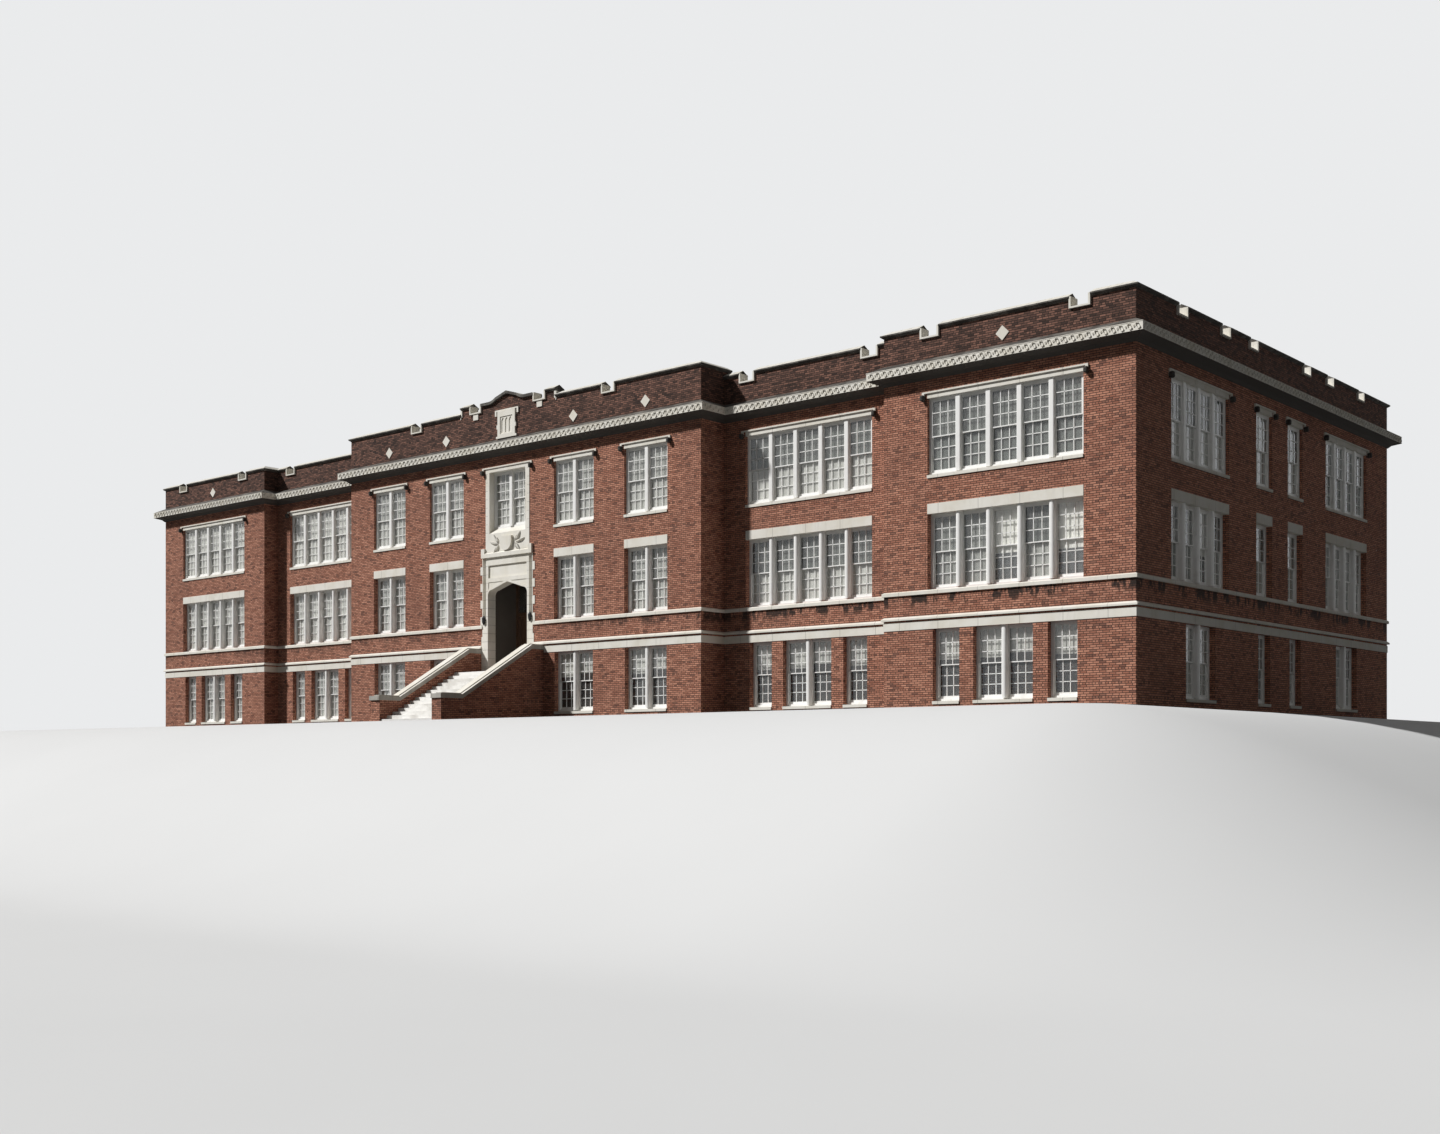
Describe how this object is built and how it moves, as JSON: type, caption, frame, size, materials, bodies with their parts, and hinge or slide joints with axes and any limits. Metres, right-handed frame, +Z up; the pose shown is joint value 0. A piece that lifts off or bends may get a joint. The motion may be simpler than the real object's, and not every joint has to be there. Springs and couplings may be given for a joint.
{
  "type": "school building, scale model at 1:2",
  "caption": "Long flat-roofed brick school of three levels, with stone trim, a stepped front with end pavilions, a notched parapet and an outside stair to a pointed-arch portal.",
  "frame": {"origin": "on the ground at the centre of the main footprint, between the outer faces of the pavilions, front and rear", "axes": "+X to the right along the front, +Y towards the rear, +Z up"},
  "size_m": [27.93, 13.968, 6.82],
  "materials": {
    "brick": "matte red-brown brickwork",
    "parapet_brick": "matte sooty brickwork",
    "stone_trim": "matte pale cut stone",
    "concrete": "matte worn concrete",
    "roofing": "matte tar and gravel",
    "plaster": "matte plaster",
    "white_paint": "painted timber",
    "window_glass": "clear window glass",
    "dark_wood": "dark varnish",
    "shade_cloth": "plain woven window shades",
    "dark_iron": "black painted iron"
  },
  "bodies": {
    "root": {"basement_floor": "concrete", "first_floor": "concrete", "second_floor": "concrete", "roof_deck": "roofing", "left_pavilion_wall": "brick", "left_recess_wall": "brick", "centre_left_wall": "brick", "portal_bay_wall": "brick", "centre_right_wall": "brick", "right_recess_wall": "brick", "right_pavilion_wall": "brick", "left_side_wall": "brick", "right_side_wall": "brick", "rear_wall": "brick", "front_parapet": "parapet_brick", "side_and_rear_parapet": "parapet_brick", "front_coping": "stone_trim", "side_and_rear_coping": "stone_trim", "notch_linings": "stone_trim", "lozenge_tiles": "stone_trim", "gable_tablet": "stone_trim", "front_cornice": "stone_trim", "side_and_rear_cornice": "stone_trim", "string_courses": "stone_trim", "first_floor_lintels": "stone_trim", "second_floor_hoods": "stone_trim", "window_sills": "stone_trim", "basement_window_frames": "white_paint", "first_floor_window_frames": "white_paint", "second_floor_window_frames": "white_paint", "basement_glass": "window_glass", "first_floor_glass": "window_glass", "second_floor_glass": "window_glass", "portal_surround": "stone_trim", "portal_hood": "stone_trim", "shield_panel": "stone_trim", "portal_window_surround": "stone_trim", "porch_walls": "plaster", "porch_floor": "concrete", "entrance_door_frame": "dark_wood", "entrance_doors": "dark_wood", "portal_lanterns": "dark_iron", "entrance_steps": "concrete", "entrance_landing": "concrete", "stair_cheek_walls": "brick", "cheek_wall_copings": "stone_trim"}
  },
  "joints": []
}
